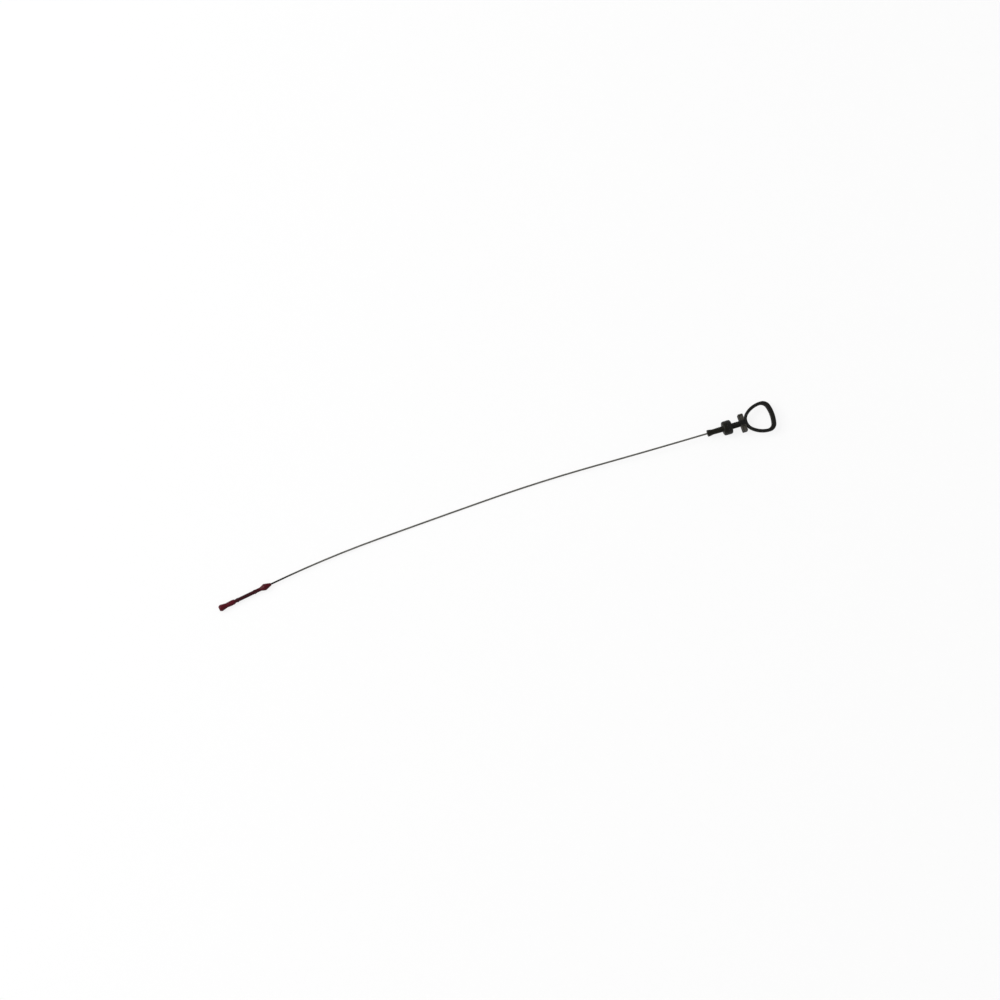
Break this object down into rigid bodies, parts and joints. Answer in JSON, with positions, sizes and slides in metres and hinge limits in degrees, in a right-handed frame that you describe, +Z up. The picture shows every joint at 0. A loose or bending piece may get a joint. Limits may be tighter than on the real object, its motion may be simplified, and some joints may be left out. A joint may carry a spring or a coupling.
{
  "type": "engine oil dipstick",
  "caption": "Engine oil dipstick with a finger-loop handle, a rubber-sealed plug for its guide tube, a long slim spring-steel rod with a slight bow, and a beaded red level tip.",
  "frame": {"origin": "centre of the plug's leading end, on the plug axis, where the rod leaves the seal lip", "axes": "+X along the plug axis to the finger loop, so the rod leaves along -X; +Z up from the floor the part lies on, with the finger loop flat; the rod's set carries the tip towards -Y"},
  "size_m": [0.6874, 0.056, 0.017],
  "materials": {
    "black_nylon": "injection moulded, fine satin grain",
    "black_rubber": "matte moulded rubber",
    "spring_steel": "drawn wire, dark tempered",
    "red_plastic": "injection moulded, semi-gloss dark red"
  },
  "bodies": {
    "root": {"handle": "black_nylon", "seal_bush": "black_rubber", "gauge_rod": "spring_steel", "level_tip": "red_plastic"}
  },
  "joints": []
}
